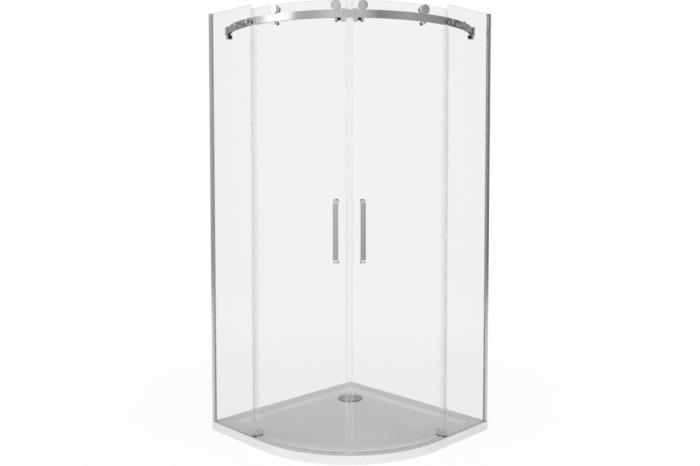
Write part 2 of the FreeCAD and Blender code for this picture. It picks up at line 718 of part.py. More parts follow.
def build():
    """Every piece by its node name. A list is a node of several like solids."""
    nodes = {"tray": make_tray(), "threshold_strip": make_threshold()}
    nodes["waste_gasket"], nodes["waste_body"], nodes["drain_cover"] = make_waste()
    bracket, opening_buffer = make_end_bracket()
    spacers, bolts, washers, bolt_holes = zip(*[make_rail_fixing(inset) for inset in bolt_insets])
    stop, closing_buffer, stop_screw, stop_hole = make_closing_stop()
    channel, gasket, profile_screws = make_wall_profile()
    panel, strip, edge_seal = make_fixed_panel()
    door = make_door_glass()
    front_seal, rear_seal, bottom_seal = make_door_seals(door)
    handle, handle_screws = make_handle()
    axles = {name: make_axle(angle) for name, angle in roller_angles.items()}
    pins = [make_pin(angle) for angle in roller_angles.values()]
    wheels = {name: make_wheel(angle) for name, angle in roller_angles.items()}
    nodes["top_rail"] = make_rail([*bolt_holes, stop_hole])
    paired = {
        "wall_profile": channel,
        "glazing_gasket": gasket,
        "fixed_panel": panel,
        "panel_bottom_strip": strip,
        "panel_edge_seal": edge_seal,
        "rail_end_bracket": bracket,
        "closing_stop": stop,
        "bottom_guide": make_bottom_guide(),
        "door_glass": door,
        "door_front_seal": front_seal,
        "door_rear_seal": rear_seal,
        "door_bottom_seal": bottom_seal,
        "door_handle": handle,
        "handle_screws": handle_screws,
        "roller_axles": list(axles.values()),
        "roller_caps": [make_roller_cap(roller_angles[name], axle) for name, axle in axles.items()],
        "roller_nuts": [make_roller_nut(roller_angles[name], axle) for name, axle in axles.items()],
        "pin_sleeves": [sleeve for sleeve, _ in pins],
        "pin_bolts": [pin_bolt for _, pin_bolt in pins],
    }
    for name, (wheel, bearing) in wheels.items():
        paired["roller_wheel_" + name] = wheel
        paired["roller_bearing_" + name] = bearing
    for name, shape in paired.items():
        nodes[name + "_left"] = shape
        grouped = isinstance(shape, list)
        nodes[name + "_right"] = [mirrored(one) for one in shape] if grouped else mirrored(shape)
    shared = {
        "profile_screws": profile_screws,
        "rail_spacers": list(spacers),
        "rail_bolts": list(bolts),
        "panel_washers": [washer for pair in washers for washer in pair],
        "closing_buffers": [closing_buffer],
        "closing_stop_screws": [stop_screw],
        "opening_buffers": [opening_buffer],
    }
    for name, shapes in shared.items():
        nodes[name] = shapes + [mirrored(one) for one in shapes]
    return nodes


def export(nodes):
    os.makedirs("parts", exist_ok=True)
    for name, shape in nodes.items():
        solid = Part.makeCompound(shape) if isinstance(shape, list) else shape
        solid.exportStep(f"parts/{name}.step")
    print(f"{len(nodes)} nodes; each door slides {door_travel:.2f} degrees about the rail's middle")


export(build())
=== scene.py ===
"""Looks of the quadrant shower enclosure: finishes, finer pieces for some nodes, studio and camera.

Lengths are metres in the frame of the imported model. The walls meet at (-X, +Y) and the doorway faces the
diagonal between +X and -Y. The picture is taken to be 700 by 466 pixels.
"""
import bpy
import json
import math
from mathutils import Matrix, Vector

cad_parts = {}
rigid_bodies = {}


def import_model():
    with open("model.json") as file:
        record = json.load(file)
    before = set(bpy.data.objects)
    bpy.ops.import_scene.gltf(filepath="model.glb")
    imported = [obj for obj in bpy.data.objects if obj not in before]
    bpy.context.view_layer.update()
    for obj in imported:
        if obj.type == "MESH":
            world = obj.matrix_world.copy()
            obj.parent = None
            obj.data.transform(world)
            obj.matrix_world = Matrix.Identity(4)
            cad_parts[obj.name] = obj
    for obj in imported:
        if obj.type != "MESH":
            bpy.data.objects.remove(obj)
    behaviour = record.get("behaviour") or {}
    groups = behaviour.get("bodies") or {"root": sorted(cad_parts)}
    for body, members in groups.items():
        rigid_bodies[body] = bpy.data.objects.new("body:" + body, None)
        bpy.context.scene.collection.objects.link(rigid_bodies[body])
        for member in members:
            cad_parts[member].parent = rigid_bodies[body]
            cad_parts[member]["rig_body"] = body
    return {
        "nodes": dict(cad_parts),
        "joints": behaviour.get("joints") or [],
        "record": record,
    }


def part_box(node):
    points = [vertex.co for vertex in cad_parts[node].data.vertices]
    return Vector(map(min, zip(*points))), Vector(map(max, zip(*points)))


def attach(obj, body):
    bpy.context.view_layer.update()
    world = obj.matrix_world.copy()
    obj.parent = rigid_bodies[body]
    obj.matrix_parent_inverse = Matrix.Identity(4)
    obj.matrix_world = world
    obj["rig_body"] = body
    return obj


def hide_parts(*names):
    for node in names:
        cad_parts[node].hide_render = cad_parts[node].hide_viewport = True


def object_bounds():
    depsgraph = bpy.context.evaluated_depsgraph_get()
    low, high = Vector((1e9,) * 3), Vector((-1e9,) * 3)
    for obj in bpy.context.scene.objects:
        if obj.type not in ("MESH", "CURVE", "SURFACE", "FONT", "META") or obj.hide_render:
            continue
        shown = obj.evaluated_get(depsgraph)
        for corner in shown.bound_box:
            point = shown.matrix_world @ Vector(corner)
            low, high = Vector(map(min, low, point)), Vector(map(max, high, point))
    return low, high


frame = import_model()
cad_low, cad_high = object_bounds()

# Modelling
sharp_angle = math.radians(32)
flat_angle = math.radians(0.3)
weld = 0.000002
turned_sides = 64
corner_steps = 4
front_steps = 64
level_enough = 0.9
smallest_sheet = 0.1

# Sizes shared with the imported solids
wall_corner = Vector((cad_low.x, cad_high.y, 0))
arc_middle = Vector(frame["joints"][0]["pos_m"])
tray_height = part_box("tray")[1].z
tray_corner = 0.004
tray_front = 0.530
tray_front_middle = Vector((cad_high.x - tray_front, cad_low.y + tray_front, 0))
wall_rim = 0.072
flank_rim = 0.054
slope_run = 0.011
basin_corner = 0.020
basin_front = 0.594
basin_depth = 0.016
floor_height = tray_height - basin_depth
waste = (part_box("drain_cover")[0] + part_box("drain_cover")[1]) / 2
recess_radius = 0.060
recess_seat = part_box("waste_gasket")[0].z
recess_depth = 0.0034
recess_top = recess_seat + recess_depth
waste_radius = 0.045
rail_outer = 0.580
door_outer = 0.563
door_glass = 0.006
cap_gap = 0.00035
nut_gap = 0.0003
cap_back = rail_outer + cap_gap
nut_back = door_outer - door_glass - nut_gap

# Rounds on the edges of single nodes, of the wall profiles, and of nodes with a left and a right one
edge_rounds = {
    "top_rail": 0.0008,
    "threshold_strip": 0.0008,
    "waste_body": 0.0005,
    "rail_spacers": 0.0005,
}
profile_round = 0.0008
handle_round = 0.0018
handle_round_steps = 3
paired_edge_rounds = {
    "rail_end_bracket_": 0.0010,
    "closing_stop_": 0.0008,
    "bottom_guide_": 0.0008,
    "pin_bolts_": 0.0003,
    "pin_sleeves_": 0.0005,
    "roller_wheel_front_": 0.0006,
    "roller_wheel_rear_": 0.0006,
}

# Camera
picture_width = 700.0
picture_height = 466.0
focal_pixels = 762.03
sensor_width = 36.0
camera_place = Vector((2.4576, -2.4317, 1.2375))
camera_pitch = 3.0
camera_heading = 45.0
principal_pixel = (353.87, 200.72)

# Directions of fine lines on metal
along_rail = (1.0, 1.0, 60.0)
along_height = (60.0, 60.0, 0.5)

# Glass and seals
pane_tint = 0.974
pane_gloss = 0.035
pane_grazing_gloss = 0.6
ground_edge_share = 0.85
edge_from_below_share = 0.4
across_doors = (0.7071, 0.7071, 0.0)
core_reach = 0.0085

# Studio
floor_size = 40.0
floor_tone = 0.8
floor_veil = 0.3
floor_glow = 0.76
shadow_reach = (0.9, 2.2)
sky_fill = 0.57
wrap_radius = 4.0
wrap_height = 7.0
wrap_steps = 96
# What polished metal sees round the studio: a bearing to the left of the camera, and a grey
wrap_greys = (
    (-180, 0.48), (-140, 0.4), (-108, 0.25), (-80, 0.37), (-50, 0.48), (-25, 0.32), (-12, 0.68),
    (0, 0.7), (18, 0.8), (30, 0.55), (47, 0.55), (54, 1.5), (76, 1.5), (84, 0.8), (104, 0.55),
    (135, 0.4), (180, 0.48),
)
# What it sees from the floor up: a share of the wall's height, and a share of the grey
wrap_rise = ((0.0, 0.6), (0.15, 0.88), (0.26, 1.0), (1.0, 1.0))


class Value:
    """A socket of a finish, on which sums add Math nodes."""

    def __init__(self, finish, socket):
        self.finish = finish
        self.socket = socket

    def _math(self, operation, first, second):
        return self.finish.node("Math", {"operation": operation}, {0: first, 1: second})

    def __add__(self, other):
        return self._math("ADD", self, other)

    def __radd__(self, other):
        return self._math("ADD", other, self)

    def __sub__(self, other):
        return self._math("SUBTRACT", self, other)

    def __rsub__(self, other):
        return self._math("SUBTRACT", other, self)

    def __mul__(self, other):
        return self._math("MULTIPLY", self, other)

    def __rmul__(self, other):
        return self._math("MULTIPLY", other, self)

    def __gt__(self, other):
        return self._math("GREATER_THAN", self, other)

    def __abs__(self):
        return self._math("ABSOLUTE", self, 0.0)


class Finish:
    """A material whose nodes are made one by one."""

    def __init__(self, name, owner=None):
        self.owner = owner or bpy.data.materials.new(name)
        self.owner.use_nodes = True
        self.tree = self.owner.node_tree
        self.tree.nodes.clear()

    def node(self, kind, settings=None, inputs=None, output=0):
        """Adds a node, sets it up, fills or links its sockets and gives one of its outputs."""
        made = self.tree.nodes.new("ShaderNode" + kind)
        for name, setting in (settings or {}).items():
            if name == "stops":
                set_stops(made.color_ramp, setting)
            else:
                setattr(made, name, setting)
        for key, value in (inputs or {}).items():
            if isinstance(value, Value):
                self.tree.links.new(value.socket, made.inputs[key])
            else:
                made.inputs[key].default_value = value
        return Value(self, made.outputs[output]) if made.outputs else None

    def surface(self, shader):
        """Ends the finish with its shader."""
        kind = "OutputWorld" if isinstance(self.owner, bpy.types.World) else "OutputMaterial"
        self.node(kind, {}, {"Surface": shader})
        return self.owner

    def grain(self, scale, detail=3.0, stretch=(1.0, 1.0, 1.0)):
        """Noise from 0 to 1 on the piece's own coordinates, drawn out along some axes."""
        place = self.node("TexCoord", output="Object")
        place = self.node("Mapping", {}, {"Vector": place, "Scale": stretch})
        return self.node("TexNoise", {}, {"Vector": place, "Scale": scale, "Detail": detail})

    def blend(self, share, first, second):
        """Colour between two colours."""
        return self.node("Mix", {"data_type": "RGBA"}, {0: share, 6: first, 7: second}, output=2)

    def bump(self, height, strength, distance):
        """Normal of a fine relief."""
        return self.node("Bump", {}, {"Height": height, "Strength": strength, "Distance": distance})

    def looked_at(self):
        """1 where the eye looks, straight, in a mirror or through glass, and 0 for other light."""
        straight = self.node("LightPath", output="Is Camera Ray")
        mirrored = self.node("LightPath", output="Is Glossy Ray")
        through = self.node("LightPath", output="Is Transmission Ray")
        return straight + mirrored + through > 0.5

    def lit_through(self, shader, grey):
        """Clear shader that lets most of the lamps' light pass."""
        lamp_ray = self.node("LightPath", output="Is Shadow Ray")
        passed = self.node("BsdfTransparent", {}, {"Color": tone(grey)})
        return self.node("MixShader", {}, {0: lamp_ray, 1: shader, 2: passed})


def set_stops(ramp, stops):
    """Sets a ramp's places and greys."""
    while len(ramp.elements) < len(stops):
        ramp.elements.new(1.0)
    for element, (place, grey) in zip(ramp.elements, stops):
        element.position = place
        element.color = tone(grey)


def tone(grey, warmth=0.0):
    """Colour of a grey, a little warmer or cooler."""
    return (grey * (1 + warmth), grey, grey * (1 - warmth), 1.0)


# Finishes

def cast_tray():
    """White cast resin with a faint cloudiness and a soft gloss."""
    f = Finish("cast_tray")
    cloud = f.grain(9.0, detail=4.0)
    peel = f.grain(260.0, detail=2.0)
    return f.surface(f.node("BsdfPrincipled", {}, {
        "Base Color": f.blend(cloud, tone(0.84), tone(0.90)),
        "Roughness": 0.38 + 0.14 * cloud,
        "Specular IOR Level": 0.12,
        "Normal": f.bump(peel, strength=0.08, distance=0.0004),
    }))


def clear_pane():
    """Toughened clear glass: grey tint, mirror gloss by angle, faint smears and darker ground edges."""
    f = Finish("clear_pane")
    upright = f.node("SeparateXYZ", {}, {0: f.node("NewGeometry", output="Normal")}, output=2)
    inside = f.node("NewGeometry", output="Backfacing")
    edge = (upright > 0.5) * (1 - inside)
    edge_from_below = (0 - upright > 0.5) * inside
    smear = f.grain(5.0, detail=5.0, stretch=(1.0, 1.0, 0.35))
    gloss = f.node("BsdfPrincipled", {}, {
        "Base Color": f.blend(edge, tone(0.02), tone(0.12)),
        "Roughness": 0.02 + 0.05 * smear + 0.3 * edge,
    })
    tint = f.node("BsdfTransparent", {}, {"Color": tone(pane_tint)})
    slant = f.node("LayerWeight", {}, {"Blend": 0.5}, output="Facing")
    slant_squared = slant * slant
    mirror = pane_gloss + pane_grazing_gloss * slant_squared * slant_squared * slant
    share = mirror * (1 - edge) * (1 - edge_from_below)
    share = share + ground_edge_share * edge + edge_from_below_share * edge_from_below
    return f.surface(f.node("MixShader", {}, {0: share, 1: tint, 2: gloss}))


def drawn_metal(name, grey, roughness, scale, stretch=along_rail):
    """Metal with fine lines along one direction and slight cloudiness."""
    f = Finish(name)
    lines = f.grain(scale, stretch=stretch)
    cloud = f.grain(14.0)
    return f.surface(f.node("BsdfPrincipled", {}, {
        "Base Color": f.blend(lines, tone(grey * 0.94), tone(grey * 1.05)),
        "Metallic": 1.0,
        "Roughness": roughness * 0.75 + roughness * 0.3 * lines + roughness * 0.2 * cloud,
        "Normal": f.bump(lines, strength=0.05, distance=0.0002),
    }))


def clear_seal(name, core_grey):
    """Soft clear strip, a little milky, with lines along it and a denser core between the doors."""
    f = Finish(name)
    ribs = f.grain(60.0, detail=2.0, stretch=(1.0, 1.0, 0.02))
    place = f.node("TexCoord", output="Object")
    aside = f.node("VectorMath", {"operation": "DOT_PRODUCT"}, {0: place, 1: across_doors}, output=1)
    core = 1 - (abs(aside) > core_reach)
    strip_colour = f.blend(ribs, tone(0.97), tone(0.99))
    clear = f.node("BsdfPrincipled", {}, {
        "Base Color": f.blend(core, strip_colour, tone(core_grey)),
        "Roughness": 0.03 + 0.03 * ribs,
        "IOR": 1.03,
        "Transmission Weight": 1.0,
    })
    milk = f.node("BsdfDiffuse", {}, {"Color": tone(0.86)})
    strip = f.node("MixShader", {}, {0: 0.05 + 0.06 * ribs, 1: clear, 2: milk})
    return f.surface(f.lit_through(strip, grey=0.95))


def rubber(name, grey):
    """Matt rubber with a fine grain."""
    f = Finish(name)
    grain = f.grain(700.0)
    return f.surface(f.node("BsdfPrincipled", {}, {
        "Base Color": f.blend(grain, tone(grey * 0.8), tone(grey * 1.3)),
        "Roughness": 0.6 + 0.25 * grain,
        "Normal": f.bump(grain, strength=0.15, distance=0.0003),
    }))


def moulded(name, grey, roughness):
    """Moulded plastic with a fine spark-eroded grain."""
    f = Finish(name)
    grain = f.grain(900.0, detail=2.0)
    cloud = f.grain(30.0)
    return f.surface(f.node("BsdfPrincipled", {}, {
        "Base Color": f.blend(cloud, tone(grey * 0.95), tone(grey * 1.03)),
        "Roughness": roughness + 0.15 * grain,
        "Normal": f.bump(grain, strength=0.1, distance=0.0002),
    }))


def clear_moulded(name, grey):
    """Clear moulded plastic, a little smoky, with a faint grain."""
    f = Finish(name)
    grain = f.grain(300.0, detail=2.0)
    clear = f.node("BsdfPrincipled", {}, {
        "Base Color": f.blend(grain, tone(grey * 0.96), tone(grey * 1.04)),
        "Roughness": 0.05 + 0.06 * grain,
        "IOR": 1.18,
        "Transmission Weight": 1.0,
    })
    return f.surface(f.lit_through(clear, grey=0.85))


finishes = {
    "tray_white": cast_tray(),
    "clear_glass": clear_pane(),
    "rail_chrome": drawn_metal("rail_chrome", grey=0.68, roughness=0.16, scale=20.0),
    "fitting_chrome": drawn_metal("fitting_chrome", grey=0.70, roughness=0.14, scale=14.0),
    "profile_metal": drawn_metal("profile_metal", grey=0.66, roughness=0.26, scale=16.0,
                                 stretch=along_height),
    "steel": drawn_metal("steel", grey=0.66, roughness=0.34, scale=25.0),
    "clear_seal": clear_seal("clear_seal", core_grey=0.98),
    "magnet_seal": clear_seal("magnet_seal", core_grey=0.86),
    "gasket_rubber": rubber("gasket_rubber", grey=0.75),
    "buffer_rubber": rubber("buffer_rubber", grey=0.02),
    "wheel_nylon": moulded("wheel_nylon", grey=0.72, roughness=0.4),
    "guide_plastic": clear_moulded("guide_plastic", grey=0.86),
}
slot_of = {part["node"]: part["material_slot"] for part in frame["record"]["subparts"]}
special_finish = {"door_front_seal_left": "magnet_seal", "door_front_seal_right": "magnet_seal"}
for node, slot in slot_of.items():
    frame["nodes"][node].data.materials[0] = finishes[special_finish.get(node, slot)]


# Bench work on pieces

def pick(piece):
    """Selects one piece alone."""
    bpy.ops.object.select_all(action="DESELECT")
    bpy.context.view_layer.objects.active = piece
    piece.select_set(True)


def choose(piece, kind, test):
    """Opens a piece for editing, with only the points, edges or faces selected that pass a test."""
    pick(piece)
    bpy.ops.object.mode_set(mode="EDIT")
    bpy.ops.mesh.select_mode(type=kind)
    bpy.ops.mesh.select_all(action="DESELECT")
    bpy.ops.object.mode_set(mode="OBJECT")
    members = {"VERT": piece.data.vertices, "EDGE": piece.data.edges, "FACE": piece.data.polygons}[kind]
    for member in members:
        member.select = test(member)
    bpy.ops.object.mode_set(mode="EDIT")


def choose_edges(piece, test):
    """Opens a piece for editing, with the edges selected whose ends pass a test."""
    points = piece.data.vertices
    choose(piece, "EDGE", lambda edge: all(test(points[index].co) for index in edge.vertices))


def choose_open_edges(piece, test):
    """Opens a piece for editing, with the edges selected that bound a gap and whose ends pass a test."""
    counts = {}
    for face in piece.data.polygons:
        for key in face.edge_keys:
            counts[key] = counts.get(key, 0) + 1
    points = piece.data.vertices
    choose(piece, "EDGE", lambda edge: counts.get(edge.key, 0) < 2
           and all(test(points[index].co) for index in edge.vertices))


def done():
    """Ends the editing of a piece."""
    bpy.ops.object.mode_set(mode="OBJECT")


def use_modifier(piece, kind, settings):
    """Applies a modifier to a piece."""
    pick(piece)
    modifier = piece.modifiers.new(kind.lower(), kind)
    for name, setting in settings.items():
        setattr(modifier, name, setting)
    bpy.ops.object.modifier_apply(modifier=modifier.name)


def smooth(piece):
    """Shades a piece's rounds smoothly and keeps its flat faces flat."""
    pick(piece)
    bpy.ops.object.shade_smooth_by_angle(angle=sharp_angle)
    use_modifier(piece, "WEIGHTED_NORMAL", {"keep_sharp": True})


def round_edges(piece, width, steps=2):
    """Rounds a piece's sharp edges."""
    use_modifier(piece, "BEVEL", {"width": width, "segments": steps, "limit_method": "ANGLE",
                                  "angle_limit": sharp_angle})
    smooth(piece)


def tidy_mesh(piece):
    """Closes a piece's seams and turns its faces outwards."""
    choose(piece, "FACE", lambda face: True)
    bpy.ops.mesh.remove_doubles(threshold=weld)
    bpy.ops.mesh.normals_make_consistent(inside=False)
    done()


def fit(piece, node):
    """Puts a finished piece in the place of the node that it shows."""
    slot = slot_of[node]
    piece.data.materials.clear()
    piece.data.materials.append(finishes[slot])
    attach(piece, frame["nodes"][node]["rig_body"])
    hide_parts(node)


def turned(name, radius, thickness, front, back=()):
    """Round piece whose rim stands on z = 0, with steps on its front face and on its back face."""
    bpy.ops.object.select_all(action="DESELECT")
    bpy.ops.mesh.primitive_cylinder_add(vertices=turned_sides, radius=radius, depth=thickness,
                                        location=(0, 0, thickness / 2))
    bpy.ops.object.transform_apply(location=True, rotation=True, scale=True)
    piece = bpy.context.object
    piece.name = name
    step_face(piece, 1, front)
    step_face(piece, -1, back)
    return piece


def dome_steps(radius, crown, reaches):
    """Steps over a shallow dome, from its rim in to each reach from its middle."""
    heights = [crown * (1 - (reach / radius) ** 2) for reach in (radius, *reaches)]
    widths = [outer - inner for outer, inner in zip((radius, *reaches), reaches)]
    return [(width, high - low) for width, low, high in zip(widths, heights, heights[1:])]


def ring_groove(width, depth):
    """Steps that turn a fine groove."""
    return [(width / 4, -depth), (width / 2, 0), (width / 4, depth)]


def step_face(piece, way, steps):
    """Steps the face that looks up or down: inwards by a width and along by a rise, or straight along."""
    choose(piece, "FACE", lambda face: face.normal.z * way > level_enough)
    for width, rise in steps:
        if width:
            bpy.ops.mesh.inset(thickness=width)
            bpy.ops.transform.translate(value=(0, 0, rise))
        else:
            bpy.ops.mesh.extrude_region_move(TRANSFORM_OT_translate={"value": (0, 0, rise)})
    done()


def cut_with(piece, cutter):
    """Cuts a cutter's shape out of a piece and puts the cutter away."""
    use_modifier(piece, "BOOLEAN", {"operation": "DIFFERENCE", "object": cutter, "solver": "EXACT"})
    bpy.data.objects.remove(cutter)


def sink_socket(piece, radius, low, high):
    """Cuts a six-sided key hole into a turned piece."""
    bpy.ops.object.select_all(action="DESELECT")
    bpy.ops.mesh.primitive_cylinder_add(vertices=6, radius=radius, depth=high - low,
                                        location=(0, 0, (low + high) / 2))
    cut_with(piece, bpy.context.object)


def cut_box(piece, low, high):
    """Cuts a box out of a piece."""
    bpy.ops.object.select_all(action="DESELECT")
    bpy.ops.mesh.primitive_cube_add(size=1, location=(low + high) / 2, scale=high - low)
    cut_with(piece, bpy.context.object)


def join(pieces):
    """Joins pieces to the first of them."""
    pick(pieces[0])
    for piece in pieces:
        piece.select_set(True)
    bpy.ops.object.join()
    return pieces[0]


def set_at(piece, places):
    """Copies a piece to places, each a point and the direction that its axis takes, as one piece."""
    copies = []
    for point, direction in places:
        copy = piece.copy()
        copy.data = piece.data.copy()
        bpy.context.collection.objects.link(copy)
        copy.location = point
        copy.rotation_euler = direction.to_track_quat("Z", "Y").to_euler()
        copies.append(copy)
    name = piece.name
    bpy.data.objects.remove(piece)
    whole = join(copies)
    bpy.ops.object.transform_apply(location=True, rotation=True, scale=True)
    whole.name = name
    return whole


def radial_places(node, radius, way=1):
    """Place on a radius of the rail's arc, and direction out or in, of each solid of a node."""
    places = []
    for low, high in solid_boxes(node):
        middle = (low + high) / 2
        direction = outward(middle)
        places.append((Vector((*(arc_middle + direction * radius).xy, middle.z)), direction * way))
    return places


def panel_places(node):
    """Place of the outer end, outward direction and length of each solid of a node across a panel."""
    places = []
    for low, high in solid_boxes(node):
        middle = (low + high) / 2
        if middle.y < 0:
            places.append((Vector((middle.x, low.y, middle.z)), Vector((0, -1, 0)), high.y - low.y))
        else:
            places.append((Vector((high.x, middle.y, middle.z)), Vector((1, 0, 0)), high.x - low.x))
    return places


def copy_of(node):
    """Welded copy of a node's mesh, with flat faces whole."""
    piece = bpy.data.objects.new(node + "_edged", frame["nodes"][node].data.copy())
    bpy.context.collection.objects.link(piece)
    choose(piece, "FACE", lambda face: True)
    bpy.ops.mesh.customdata_custom_splitnormals_clear()
    bpy.ops.mesh.remove_doubles(threshold=weld)
    bpy.ops.mesh.dissolve_limited(angle_limit=flat_angle)
    done()
    return piece


def solid_boxes(node):
    """Lowest and highest corner of each separate solid of a node."""
    piece = copy_of(node)
    pick(piece)
    bpy.ops.mesh.separate(type="LOOSE")
    solids = list(bpy.context.selected_objects)
    boxes = []
    for solid in solids:
        points = [point.co for point in solid.data.vertices]
        boxes.append([Vector([bound(point[axis] for point in points) for axis in range(3)])
                      for bound in (min, max)])
        bpy.data.objects.remove(solid)
    return boxes


def outward(point):
    """Level direction from the middle of the rail's arc to a point."""
    return Vector((point.x - arc_middle.x, point.y - arc_middle.y, 0)).normalized()


# Pieces

def quadrant_sheet(piece, low, high, z, corner_radius, front_radius):
    """Adds to a piece an outline between two distances from the walls, with a round front corner."""
    pick(piece)
    bpy.ops.object.mode_set(mode="EDIT")
    middle = (low + high) / 2
    bpy.ops.mesh.primitive_plane_add(size=high - low,
                                     location=(wall_corner.x + middle, wall_corner.y - middle, z))
    done()
    front = Vector((wall_corner.x + high, wall_corner.y - high, z))

    def is_corner(point):
        lies_on_sides = [any(abs(reach - bound) < weld for bound in (low, high))
                         for reach in (point.co.x - wall_corner.x, wall_corner.y - point.co.y)]
        return abs(point.co.z - z) < weld and all(lies_on_sides)

    choose(piece, "VERT", lambda point: is_corner(point) and (point.co - front).length > weld)
    bpy.ops.mesh.bevel(affect="VERTICES", offset=corner_radius, segments=corner_steps)
    done()
    choose(piece, "VERT", lambda point: is_corner(point) and (point.co - front).length < weld)
    bpy.ops.mesh.bevel(affect="VERTICES", offset=front_radius, segments=front_steps)
    done()
    choose(piece, "FACE", lambda face: face.area > smallest_sheet and abs(face.center.z - z) < weld
           and len(face.vertices) > 4)
    bpy.ops.mesh.delete(type="ONLY_FACE")
    done()


def waste_circle(piece, radius, z):
    """Adds to a piece a circle about the waste."""
    pick(piece)
    bpy.ops.object.mode_set(mode="EDIT")
    bpy.ops.mesh.primitive_circle_add(vertices=turned_sides, radius=radius,
                                      location=(waste.x, waste.y, z))
    done()


def bridge(piece, test):
    """Closes the gap between two open loops."""
    choose_open_edges(piece, test)
    bpy.ops.mesh.bridge_edge_loops()
    done()


def fill(piece, test):
    """Closes open loops with a flat sheet."""
    choose_open_edges(piece, test)
    bpy.ops.mesh.fill(use_beauty=True)
    done()


def round_loop(piece, test, radius, steps=3):
    """Rounds a loop of edges."""
    choose_edges(piece, test)
    bpy.ops.mesh.bevel(affect="EDGES", offset=radius, segments=steps)
    done()


def shower_tray():
    """Cast tray with soft edges: flank, rim, basin slope, floor that falls to the waste, and its seat."""
    piece = bpy.data.objects.new("tray_cast", bpy.data.meshes.new("tray_cast"))
    bpy.context.collection.objects.link(piece)
    side = cad_high.x - cad_low.x
    basin_end = side - flank_rim
    front_play = weld * 100
    quadrant_sheet(piece, 0, side, 0, tray_corner, tray_front)
    quadrant_sheet(piece, 0, side, tray_height, tray_corner, tray_front)
    bridge(piece, lambda point: True)
    quadrant_sheet(piece, wall_rim, basin_end, tray_height, basin_corner, basin_front)
    bridge(piece, lambda point: point.z > tray_height - weld)
    quadrant_sheet(piece, wall_rim + slope_run, basin_end - slope_run, floor_height,
                   basin_corner - slope_run, basin_front - slope_run)
    bridge(piece, lambda point: point.z > weld)
    waste_circle(piece, recess_radius, recess_top)
    fill(piece, lambda point: recess_top - weld < point.z < floor_height + weld)
    waste_circle(piece, recess_radius, recess_seat)
    bridge(piece, lambda point: point.z > weld)
    waste_circle(piece, waste_radius, recess_seat)
    bridge(piece, lambda point: point.z > weld)
    waste_circle(piece, waste_radius, 0)
    bridge(piece, lambda point: (point.xy - waste.xy).length < recess_radius - weld)
    fill(piece, lambda point: point.z < weld)
    tidy_mesh(piece)

    def on_flank(point):
        reach = point.xy - tray_front_middle.xy
        on_front = reach.x > 0 and reach.y < 0 and reach.length > tray_front - front_play
        return on_front or max(abs(point.x), abs(point.y)) > side / 2 - tray_corner - weld

    top = tray_height - weld
    floor_round, rim_round, flank_round, recess_round = 0.003, 0.002, 0.0025, 0.001
    round_loop(piece, lambda point: abs(point.z - floor_height) < weld, floor_round)
    round_loop(piece, lambda point: point.z > top and not on_flank(point), rim_round)
    round_loop(piece, lambda point: point.z > top and on_flank(point), flank_round)
    round_loop(piece, lambda point: abs(point.z - recess_top) < weld, recess_round, 2)
    smooth(piece)
    fit(piece, "tray")


def edged(node, width, steps=2):
    """Node with its sharp edges rounded."""
    piece = copy_of(node)
    round_edges(piece, width, steps)
    fit(piece, node)


def wall_profile(node, groove_low, groove_high):
    """Channel with soft edges and a groove down its outer face."""
    piece = copy_of(node)
    cut_box(piece, groove_low, groove_high)
    round_edges(piece, profile_round)
    fit(piece, node)


def wall_profiles():
    """Both profiles, with their grooves at the same distance from each wall."""
    start, end, depth, over = 0.0125, 0.0148, 0.0012, 0.001
    low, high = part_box("wall_profile_left")
    wall_profile("wall_profile_left", Vector((low.x + start, low.y - over, low.z - over)),
                 Vector((low.x + end, low.y + depth, high.z + over)))
    low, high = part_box("wall_profile_right")
    wall_profile("wall_profile_right", Vector((high.x - depth, high.y - end, low.z - over)),
                 Vector((high.x + over, high.y - start, high.z + over)))


def screw(name, radius, height, shank_radius=0, shank=0, key_hole=True):
    """Round-headed screw with or without a key hole, whose head stands on z = 0."""
    rim, shoulder, crown, chamfer = height * 0.5, height * 0.35, height * 0.15, height * 0.15
    front = [(chamfer, shoulder), *dome_steps(radius - chamfer, crown, (radius * 0.7, radius * 0.55))]
    back = []
    if shank:
        tip = shank_radius * 0.2
        back = [(radius - shank_radius, 0), (0, tip - shank), (tip, -tip)]
    piece = turned(name, radius, rim, front, back)
    if key_hole:
        key_radius, key_low, key_high = radius * 0.42, height * 0.4, height * 2
        sink_socket(piece, key_radius, key_low, key_high)
    return piece


def rail_bolts():
    """Capped bolts through the panels into the rail, alike in pairs of one length."""
    radius, cap, shank_radius, digits = 0.009, 0.004, 0.005, 4
    places = panel_places("rail_bolts")
    rows = []
    for length in sorted({round(length, digits) for place, direction, length in places}):
        bolt = screw("rail_bolt", radius, cap, shank_radius, length - cap, key_hole=False)
        rows.append(set_at(bolt, [(place - direction * cap, direction) for place, direction, own in places
                                  if round(own, digits) == length]))
    piece = join(rows)
    smooth(piece)
    fit(piece, "rail_bolts")


def profile_screws():
    """Screw heads on the inner face of the wall profiles."""
    radius, height = 0.004, 0.0022
    places = [(place, -direction) for place, direction, length in panel_places("profile_screws")]
    piece = set_at(screw("profile_screw", radius, height), places)
    smooth(piece)
    fit(piece, "profile_screws")


def stop_screws():
    """Screws that hold the closing stops on the rail."""
    plate, radius, height, shank_radius, shank = 0.005, 0.0045, 0.002, 0.0025, 0.009
    piece = screw("stop_screw", radius, height, shank_radius, shank)
    piece = set_at(piece, radial_places("closing_stop_screws", rail_outer + plate))
    smooth(piece)
    fit(piece, "closing_stop_screws")


